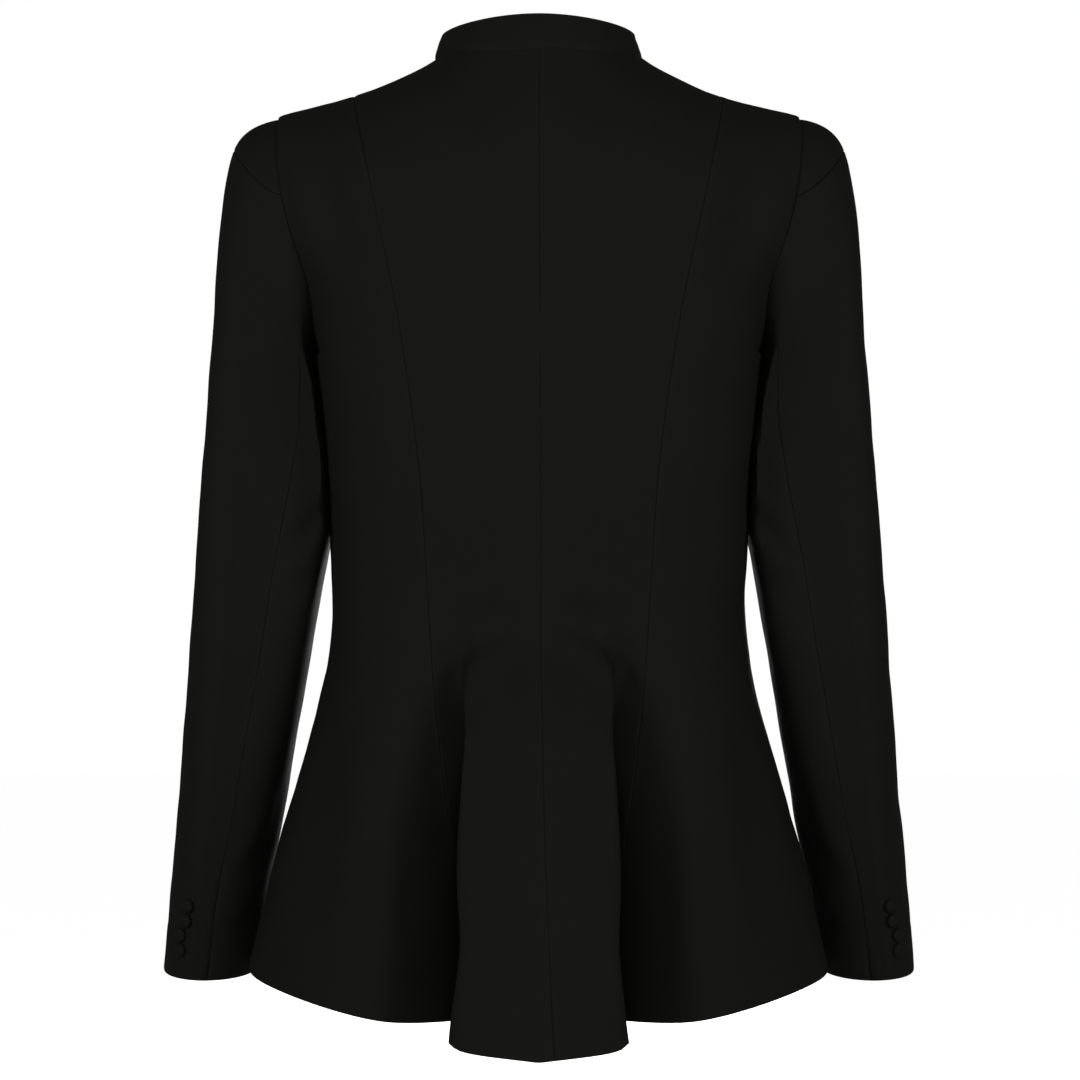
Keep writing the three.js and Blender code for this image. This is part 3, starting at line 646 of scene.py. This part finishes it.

# %% [markdown]
# Cloth that hangs is never quite even. Each crease is placed in the table below, as a line
# from one point to another on the back or the front, in millimetres. A trough has a positive depth
# and a ridge a negative one, and both fade out at their ends. The second side of the jacket gets the
# same creases, each one a little displaced, as nobody's two sleeves crease alike.

# %% Creases
CREASES = table(
    "face x1 z1 x2 z2 bow width depth",
    (1, 141, -300, 174, -334, 5, 6, 2.2),
    (1, 150, -322, 181, -345, 4, 5, 1.3),
    (1, 153, -352, 174, -369, 3, 7, 1.5),
    (1, 196, -262, 218, -330, -8, 14, 0.8),
    (1, 171, -500, 202, -566, 6, 8, 2.6),
    (1, 190, -580, 209, -603, 3, 6, 1.6),
    (1, 205, -470, 214, -545, -5, 12, 0.9),
    (1, 175, -150, 178, -262, 5, 12, 1.2),
    (1, 153, -74, 126, -160, 0, 13, 1.9),
    (1, 128, -96, 112, -190, 8, 18, 0.7),
    (1, 139, -250, 110, -215, 4, 12, 0.6),
    (1, 142, -440, 152, -602, 3, 12, 2.0),
    (1, 128, -450, 136, -606, 3, 12, -1.1),
    (1, 92, -470, 88, -640, 3, 11, 0.9),
    (1, 12, -383, 54, -406, -4, 13, 2.6),
    (1, 44, -399, 62, -428, -4, 10, 1.8),
    (1, 18, -400, 50, -430, -4, 8, -1.2),
    (1, 42, -470, 38, -560, 2, 7, 0.7),
    (1, 40, -575, 44, -640, 2, 8, 1.0),
    (1, 30, -600, 36, -652, 0, 12, 0.7),
    (1, 60, -360, 20, -352, 3, 9, 0.5),
    (-1, 152, -306, 190, -338, 5, 7, 2.0),
    (-1, 158, -340, 188, -362, 3, 6, 1.4),
    (-1, 182, -500, 216, -560, 6, 9, 1.8),
    (-1, 170, -180, 180, -270, 5, 12, 1.2),
    (-1, 128, -180, 96, -214, 5, 12, 1.0),
    (-1, 132, -250, 98, -236, 4, 10, 0.8),
    (-1, 118, -392, 60, -366, 4, 9, 0.8),
    (-1, 146, -440, 158, -600, 3, 13, 1.8),
    (-1, 104, -470, 112, -612, 3, 14, 1.3),
    (-1, 62, -480, 66, -612, -3, 14, 1.0),
)
RIDGE_SIZE, RIDGE_PLACE, RIDGE_WIDTH = 0.35, 1.7, 0.7  # the soft ridges beside a trough
UNEVEN_SHIFT = 3.0
dice = np.random.default_rng(11)
CREASE_SHIFT = dice.uniform(-UNEVEN_SHIFT, UNEVEN_SHIFT, (2, len(CREASES["x1"]), 2))
CREASE_SIZE = dice.uniform(0.8, 1.15, (2, len(CREASES["x1"])))


def creased(points, normals, side):
    """How far each point of the cloth sinks into the creases near it."""
    x, z = points[..., 0], points[..., 2]
    facing = normals[..., 1]
    sunk = np.zeros(x.shape)
    turn = 0 if side > 0 else 1
    for i in range(len(CREASES["x1"])):
        row = {name: column[i] for name, column in CREASES.items()}
        dx, dz = CREASE_SHIFT[turn, i] * turn
        start = np.array((row["x1"] + dx, row["z1"] + dz))
        run = np.array((row["x2"], row["z2"])) + (dx, dz) - start
        length = np.linalg.norm(run)
        run = run / length
        along = ((x - start[0]) * run[0] + (z - start[1]) * run[1]) / length
        past = (x - start[0]) * run[1] - (z - start[1]) * run[0]
        past = past - row["bow"] * np.sin(np.clip(along, 0, 1) * np.pi)
        q = past / (row["width"] * CREASE_SIZE[turn, i])
        fade = ease(along, -0.12, 0.3) * ease(-along, -1.15, -0.6)
        fade = fade * ease(facing * row["face"], 0.05, 0.5)
        ridges = RIDGE_SIZE * np.exp(-(((np.abs(q) - RIDGE_PLACE) / RIDGE_WIDTH) ** 2))
        sunk += row["depth"] * fade * (np.exp(-q * q) - ridges)
    return sunk


WAVES = table(
    "length tilt size",
    (118, 0.3, 0.30),
    (83, 1.4, 0.24),
    (61, 2.5, 0.18),
    (47, 0.9, 0.12),
    (31, 1.9, 0.07),
)


def unevenness(points, side):
    """Slow, shallow waves all over the cloth."""
    x, y, z = points[..., 0] * side, points[..., 1], points[..., 2]
    waves = 0
    for i in range(len(WAVES["length"])):
        turn = WAVES["tilt"][i]
        place = x * np.cos(turn) + z * np.sin(turn) + y * 0.6
        phase = i * 1.7 + 0.8 * np.sin((x - z + y) / 97.0)
        waves = waves + WAVES["size"][i] * np.sin(2 * np.pi * place / WAVES["length"][i] + phase)
    return waves


print("creases placed:", len(CREASES["x1"]))

# %% [markdown]
# Every sewn piece is made the same way. Its net is fine everywhere and finest at its edges. A seam
# edge rolls down into the seam, with the pressed allowance under it as a faint plateau and a slight
# pucker along the stitches. A free edge is a turned hem: rounded, and a little thicker as far as the
# hem reaches.

# %% Net of a piece
STEP = 3.2
EDGE_STEPS = np.array([0, 0.15, 0.45, 0.9, 1.6, 2.8])
SEAM_ROLL = {"deep seam": 0.9, "seam": 0.6, "fine seam": 0.35}
ALLOWANCE, ALLOWANCE_RISE, ALLOWANCE_FADE = 8.0, 0.12, 7.0
HEM_RISE = 0.25
PUCKER, PUCKER_REACH = 0.10, 7.0


def spread(line, low, high):
    """Places between low and high, even along the cloth and closer together at both ends."""
    fine = np.linspace(low, high, 600)
    points = line(fine)
    gone = np.concatenate([[0], np.cumsum(np.linalg.norm(np.diff(points, axis=0), axis=-1))])
    total = gone[-1]
    middle = max(int(round((total - 2 * EDGE_STEPS[-1]) / STEP)), 1)
    inside = np.linspace(EDGE_STEPS[-1], total - EDGE_STEPS[-1], middle + 1)[1:-1]
    wanted = np.concatenate([EDGE_STEPS, inside, total - EDGE_STEPS[::-1]])
    return np.interp(wanted, gone, fine)


def roll(distance, radius):
    """How far a rounded edge has dropped, by the distance from the edge."""
    short = np.clip(radius - distance, 0, radius)
    return radius - np.sqrt(radius**2 - short**2)


def pucker(distance, gone, seed):
    """The small waves that stitches draw into the cloth beside them."""
    wave = np.sin(gone / 4.3 + seed) + 0.8 * np.sin(gone / 7.1 + 2 * seed) + 0.6 * np.sin(gone / 2.9)
    return PUCKER * wave * np.exp(-distance / PUCKER_REACH) * ease(distance, 0, 1.5)


def travelled(points, axis):
    """Distance along the cloth from its first row or column, and back from its last."""
    step = np.linalg.norm(np.diff(points, axis=axis), axis=-1)
    gone = np.cumsum(step, axis=axis)
    zero = np.zeros_like(np.take(gone, [0], axis=axis))
    gone = np.concatenate([zero, gone], axis=axis)
    return gone, np.take(gone, [-1], axis=axis) - gone


# %% Wall of a piece
def wall(name, surface, places, rows, edges, outward, side=1, thickness=CLOTH, moved=None):
    """One sewn piece as a thin wall. edges names its left, right, top and bottom edge."""
    u, v = np.meshgrid(places, rows)
    points = surface(u, v)
    along, down = np.gradient(points, axis=1), np.gradient(points, axis=0)
    normals = unit(np.cross(along, down)) * outward
    left, right = travelled(points, 1)
    top, bottom = travelled(points, 0)

    lift = unevenness(points, side) - creased(points, normals, side)
    if moved is not None:
        lift = lift + moved(points, u, v)
    free = thickness / 2 - 0.04
    outer_drop, inner_rise = np.zeros(u.shape), np.zeros(u.shape)
    pressed = np.zeros(u.shape)
    near = np.full(u.shape, 1e9)
    for kind, distance, run in zip(edges, (left, right, top, bottom), (top, top, left, left)):
        near = np.minimum(near, distance)
        if kind in SEAM_ROLL:
            outer_drop = np.maximum(outer_drop, roll(distance, SEAM_ROLL[kind]))
            lift = lift + ALLOWANCE_RISE * ease(-distance, -ALLOWANCE - ALLOWANCE_FADE, -ALLOWANCE)
            lift = lift + pucker(distance, run, len(name) + places[0])
            pressed = np.maximum(pressed, 0.6 * ease(-distance, -5, -0.5))
        else:
            outer_drop = np.maximum(outer_drop, roll(distance, free))
            inner_rise = np.maximum(inner_rise, roll(distance, free))
            lift = lift + HEM_RISE * ease(-distance, -float(kind) - 3, -float(kind))
            pressed = np.maximum(pressed, ease(-distance, -4, -0.3))
    lift = lift * ease(near, -1.0, 3.0)
    outer = points + normals * (lift - outer_drop)[..., None]
    inner = points + normals * (lift - thickness + inner_rise)[..., None]
    piece = closed_wall(name, outer, inner, side)

    grain = np.stack([left - left[:, [-1]] / 2, top], axis=-1).reshape(-1, 2) * MM
    dress(piece, np.concatenate([grain, grain]), np.concatenate([pressed.ravel()] * 2))
    piece["flat"] = [float(left[:, -1].max()) * MM, float(top[-1].max()) * MM]
    piece["flat_area"] = cut_area(points) * MM * MM
    return piece


def cut_area(points):
    """Area of the cutting surface."""
    a = points[1:, 1:] - points[:-1, :-1]
    b = points[1:, :-1] - points[:-1, 1:]
    return float(np.linalg.norm(np.cross(a, b), axis=-1).sum() / 2)


def closed_wall(name, outer, inner, side):
    """A mesh from the outer and inner points, closed round its edges."""
    rows, columns = outer.shape[:2]
    number = np.arange(rows * columns).reshape(rows, columns)
    behind = number + rows * columns

    def quads(a, b, c, d):
        return np.stack([a, b, c, d], axis=-1).reshape(-1, 4)

    def sheet(n):
        return quads(n[:-1, :-1], n[1:, :-1], n[1:, 1:], n[:-1, 1:])

    def strip(a, b):
        return quads(a[:-1], a[1:], b[1:], b[:-1])

    faces = np.concatenate([
        sheet(number),
        sheet(behind)[:, ::-1],
        strip(number[:, 0], behind[:, 0])[:, ::-1],
        strip(number[:, -1], behind[:, -1]),
        strip(number[0], behind[0]),
        strip(number[-1], behind[-1])[:, ::-1],
    ])
    points = np.concatenate([outer.reshape(-1, 3), inner.reshape(-1, 3)])
    a, b, c = (points[faces[:, k]] for k in (0, 1, 2))
    volume = np.einsum("ij,ij->i", a, np.cross(b, c)).sum()
    if (volume < 0) != (side < 0):
        faces = faces[:, ::-1]
    mesh = bpy.data.meshes.new(name)
    mesh.from_pydata(points * (side, 1, 1) * MM, [], faces.tolist())
    mesh.shade_smooth()
    mesh.set_sharp_from_angle(angle=np.radians(60))
    piece = bpy.data.objects.new(name, mesh)
    bpy.context.scene.collection.objects.link(piece)
    return piece


def dress(piece, grain, pressed):
    """Stores the cloth's own coordinates and its pressed edges for the material."""
    mesh = piece.data
    corners = np.empty(len(mesh.loops), int)
    mesh.loops.foreach_get("vertex_index", corners)
    layer = mesh.uv_layers.new(name="cloth")
    layer.data.foreach_set("uv", grain[corners].ravel())
    mesh.attributes.new("pressed", "FLOAT", "POINT").data.foreach_set("value", pressed)


def finish_piece(piece, node, material):
    """Lets a piece stand for its solid and declares its cloth."""
    piece.data.materials.append(material)
    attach(piece, "root")
    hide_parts(node)


# %% [markdown]
# The back is four panels. The centre seam isn't quite straight: it was sewn by hand and eye, and
# drifts to one side as it goes down the fold. The princess seam divides centre and side, and the
# hem follows the waves of the peplum.

# %% Back panels
DRIFT = table(
    "z x",
    (0, 0),
    (-240, -1.0),
    (-403, -1.5),
    (-487, -2.8),
    (-533, -3.9),
    (-576, -5.5),
    (-630, -7.6),
    (-664, -9.2),
)
HEM_TURN = "30"


def centre_back(side):
    def surface(u, r):
        z = body("back", 0 * u, r)[..., 2]
        drift = side * read(DRIFT, "z", z, "x") / (1.1 * read(SECTIONS["back"], "z", z, "edgeX"))
        return body("back", np.where(u < 1, u + drift * (1 - u), u), r)

    return surface


def side_back(c, r):
    return body("back", c, r)


def side_names(name):
    return ((1, name + "_left"), (-1, name + "_right"))


rows_back = spread(lambda r: body("back", np.full_like(r, 1.5), r), 0, 4)
places_centre = spread(lambda c: body("back", c, np.full_like(c, 3.4)), 0, 2)
places_side = spread(lambda c: body("back", c, np.full_like(c, 3.4)), 2, 5)
for side, name in side_names("centre_back"):
    edges = ("fine seam", "seam", "seam", HEM_TURN)
    piece = wall(name + "_cloth", centre_back(side), places_centre, rows_back, edges, 1, side)
    finish_piece(piece, name, SUITING)
for side, name in side_names("side_back"):
    edges = ("seam", "seam", "seam", HEM_TURN)
    piece = wall(name + "_cloth", side_back, places_side, rows_back, edges, 1, side)
    finish_piece(piece, name, SUITING)

# %% [markdown]
# The front isn't in the picture, so it is plain: side fronts that meet the backs at the side seams,
# and two fronts that lap over each other with a hidden fastening. The right one lies on top. The
# left one sinks under it by the thickness of the cloth.

# %% Front panels
OVERLAP, LAP_EASE, LAP_GAP = 16.0, 34.0, 0.3
FRONT_TURN = "12"


def place_past(distance, r):
    """Place along the front that lies a distance past the middle."""
    places = np.linspace(0, 1, 41)
    levels = np.linspace(0, 4, 161)
    reach = body("front", places[None, :], levels[:, None])[..., 0]
    found = np.array([np.interp(distance, line, places) for line in reach])
    return np.interp(r, levels, found)


def front(u, r):
    """u counts laps from the middle (-1 to 1), then goes on to the neck point (2) and the seam (3)."""
    lap = place_past(OVERLAP, r)
    near = u * lap
    far = np.where(u < 2, lerp(lap, 1, u - 1), u - 1)
    return body("front", np.where(u <= 1, near, far), r)


def side_front(c, r):
    return body("front", c, r)


def under_lap(points, u, r):
    reach = ease(-points[..., 0], -OVERLAP - LAP_EASE, -OVERLAP)
    return -(CLOTH + LAP_GAP) * reach


rows_front = spread(lambda r: body("front", np.full_like(r, 1.5), r), 0, 4)
places_front = spread(lambda u: front(u, np.full_like(u, 3.4)), -1, 3)
places_side = spread(lambda c: body("front", c, np.full_like(c, 3.4)), 2, 5)
for side, name in side_names("side_front"):
    edges = ("seam", "seam", "seam", HEM_TURN)
    piece = wall(name + "_cloth", side_front, places_side, rows_front, edges, -1, side)
    finish_piece(piece, name, SUITING)
for side, name in side_names("front"):
    edges = (FRONT_TURN, "seam", "seam", HEM_TURN)
    moved = under_lap if side > 0 else None
    piece = wall(name + "_cloth", front, places_front, rows_front, edges, -1, side, moved=moved)
    finish_piece(piece, name, SUITING)

# %% [markdown]
# The collar is one strip that goes round the neck, with a fine seam at the middle of the back. Its
# top edge is turned.

# %% Collar
COLLAR_GAP = 1.2
COLLAR_SEAM = 0.35
COLLAR_TURN = "4"


def collar_seam(points, u, v):
    """The centre seam of the collar, as a thin groove over half its depth."""
    groove = np.exp(-((points[..., 0] / 0.8) ** 2)) * (points[..., 1] > 0)
    return -COLLAR_SEAM * groove


laps = np.linspace(0, 1, 9)
lap_x = front(laps, np.zeros(9))[:, 0]
gap_share = float(np.interp(COLLAR_GAP / 2, lap_x, laps)) * float(place_past(OVERLAP, 0.0))
collar_end = 2 - gap_share
around = spread(lambda u: collar(u, np.zeros_like(u)), -collar_end, collar_end)
seam_places = np.array([-0.02, -0.012, -0.006, 0.006, 0.012, 0.02])
around = np.unique(np.concatenate([around, seam_places]))
up = spread(lambda v: collar(np.zeros_like(v), v), TUCK, 1)[::-1]
edges = ("3", "3", COLLAR_TURN, "seam")
piece = wall("collar_cloth", collar, around, up, edges, -1, 1, COLLAR_CLOTH, collar_seam)
finish_piece(piece, "collar", COLLAR_SUITING)

# %% [markdown]
# Each sleeve is a cap piece over a padded head, a top sleeve and an under sleeve. Below the elbow
# the back seam ends in a vent: there the top sleeve lies over the under sleeve, with an edge that
# stands a little proud.

# %% Sleeves
CUFF_TURN = "32"
VENT_TOP, VENT_RISE, VENT_REACH = 1.76, 0.9, 14.0


def vent(points, place, share):
    """The top sleeve stands proud of the under sleeve along the vent."""
    distance = np.linalg.norm(points - points[:, [-1]], axis=-1)
    return VENT_RISE * ease(share, VENT_TOP, VENT_TOP + 0.06) * ease(-distance, -VENT_REACH, 0)


CAP_END = CAP_HALF - 0.1
ARM_BOUNDS = (
    (FRONT_SEAM - 360, -CAP_HALF),
    (CAP_HALF, ELBOW_PLACE),
    (ELBOW_PLACE, FRONT_SEAM),
)
rows_arm = spread(lambda s: arm_piece(np.full_like(s, 85.0), s), 0, 2)
places_cap = spread(lambda p: cap_piece(p, np.ones_like(p)), -CAP_END, CAP_END)
before_cap, after_cap, places_under = (
    spread(lambda p: arm_piece(p, np.full_like(p, 1.2)), low, high) for low, high in ARM_BOUNDS
)
places_top = np.concatenate([before_cap, places_cap, after_cap])
rows_cap = spread(lambda s: cap_piece(np.zeros_like(s), s), 0, 1)
for side, name in side_names("sleeve_cap"):
    edges = ("seam", "seam", "seam", "deep seam")
    piece = wall(name + "_cloth", cap_piece, places_cap, rows_cap, edges, -1, side)
    finish_piece(piece, name, SUITING)
for side, name in side_names("top_sleeve"):
    edges = ("seam", "seam", "deep seam", CUFF_TURN)
    piece = wall(name + "_cloth", arm_piece, places_top, rows_arm, edges, -1, side, moved=vent)
    finish_piece(piece, name, SUITING)
for side, name in side_names("under_sleeve"):
    edges = ("seam", "seam", "seam", CUFF_TURN)
    piece = wall(name + "_cloth", arm_piece, places_under, rows_arm, edges, -1, side)
    finish_piece(piece, name, SUITING)

# %% [markdown]
# Four small domed buttons close each cuff. They are moulds covered in the same cloth, which is drawn
# in under the rim in tiny pleats. A sphere would look like plastic, so each one is a turned dome
# whose rim is drawn in and out by its pleats.

# %% Buttons
BUTTON_RADIUS, BUTTON_HEIGHT, BUTTON_SEAT = 5.0, 4.2, 0.3
BUTTON_TOP, BUTTON_SPACING = -582.5, 10.4
BUTTON_ANGLES = (60, 59, 53.5, 55)
PLEATS, PLEAT_DEPTH = 18, 0.09
ROUND_STEPS = 72


def button_profile():
    """Radius and height from the middle of the underside, round the rim, to the top."""
    under = [(0.0, 0.35), (1.6, 0.3), (3.2, 0.08), (4.0, 0.0), (4.55, 0.12), (4.85, 0.5)]
    rise = np.linspace(0, np.pi / 2, 15)
    dome = [(BUTTON_RADIUS * np.cos(a), 1 + (BUTTON_HEIGHT - 1) * np.sin(a)) for a in rise]
    return np.array(under + dome)


def button(name, seat, normal, turn):
    """One covered button, turned about its axis and seated on the cuff."""
    profile = button_profile()
    angle = np.linspace(0, 2 * np.pi, ROUND_STEPS, endpoint=False) + turn
    radius, height = profile[1:-1, 0][:, None], profile[1:-1, 1][:, None]
    rim = np.exp(-((height - 0.6) ** 2) / 0.8)
    radius = radius - PLEAT_DEPTH * rim * (1 + np.sin(angle * PLEATS + 0.6 * np.sin(angle * 3)))
    ring = np.stack([radius * np.cos(angle), radius * np.sin(angle), height + 0 * angle], axis=-1)
    points = np.concatenate([[(0, 0, profile[0, 1])], ring.reshape(-1, 3), [(0, 0, profile[-1, 1])]])
    count = len(profile) - 2
    number = 1 + np.arange(count * ROUND_STEPS).reshape(count, ROUND_STEPS)
    beside = np.roll(number, -1, axis=1)
    sides = np.stack([number[:-1], beside[:-1], beside[1:], number[1:]], axis=-1)
    faces = sides.reshape(-1, 4).tolist()
    last = len(points) - 1
    faces += [[0, b, a] for a, b in zip(number[0], beside[0])]
    faces += [[last, a, b] for a, b in zip(number[-1], beside[-1])]
    turned = Vector((0, 0, 1)).rotation_difference(Vector(normal)).to_matrix()
    placed = points @ np.array(turned).T + seat + normal * BUTTON_SEAT
    mesh = bpy.data.meshes.new(name)
    mesh.from_pydata(placed * MM, [], faces)
    mesh.shade_smooth()
    piece = bpy.data.objects.new(name, mesh)
    bpy.context.scene.collection.objects.link(piece)
    pressed = np.exp(-((points[:, 2] - 1.0) ** 2) / 0.5) * 0.5
    dress(piece, points[:, :2] * MM, pressed)
    piece.data.materials.append(BUTTON_SUITING)
    return piece


for side, end in ((1, "left"), (-1, "right")):
    for i, angle in enumerate(BUTTON_ANGLES):
        z = BUTTON_TOP - i * BUTTON_SPACING
        a, h = float(angle), 0.5
        here, level = np.array(a), np.array(z)
        seat = sleeve_ring(here, level)
        across = sleeve_ring(here + h, level) - sleeve_ring(here - h, level)
        down = sleeve_ring(here, level - h) - sleeve_ring(here, level + h)
        normal = unit(np.cross(down, across))
        flip = np.array((side, 1, 1))
        node = f"cuff_button_{end}_{i + 1}"
        piece = button(node + "_cloth", seat * flip, normal * flip, 0.9 * i)
        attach(piece, "root")
        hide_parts(node)
    print("buttons on the", end, "cuff:", len(BUTTON_ANGLES))
